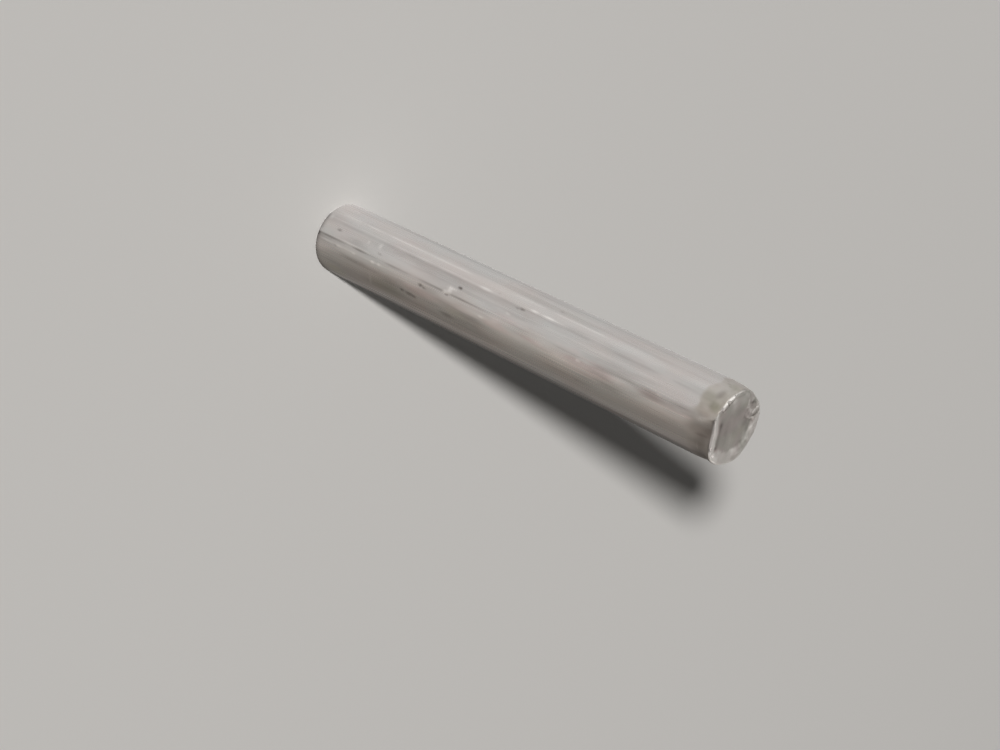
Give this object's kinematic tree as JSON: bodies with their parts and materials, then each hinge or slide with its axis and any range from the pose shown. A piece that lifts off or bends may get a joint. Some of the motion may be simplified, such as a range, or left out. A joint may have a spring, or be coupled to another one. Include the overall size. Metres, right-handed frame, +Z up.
{
  "type": "dowel pin",
  "caption": "Solid round steel dowel pin with a plain end, a short lead taper and a worn, dented tip.",
  "frame": {"origin": "centre of the flat plain end, on the pin's axis: the pin stands on this face", "axes": "+Z runs up the pin's axis from the plain end to the lead taper and the worn tip; -Y is the front, the side with the clearest die lines; the tip's dent lies between +X and -Y"},
  "size_m": [0.0064, 0.0064, 0.0445],
  "materials": {
    "worn_steel": "satin ground steel, dulled and streaked along its length"
  },
  "bodies": {
    "root": {"dowel_pin": "worn_steel"}
  },
  "joints": []
}
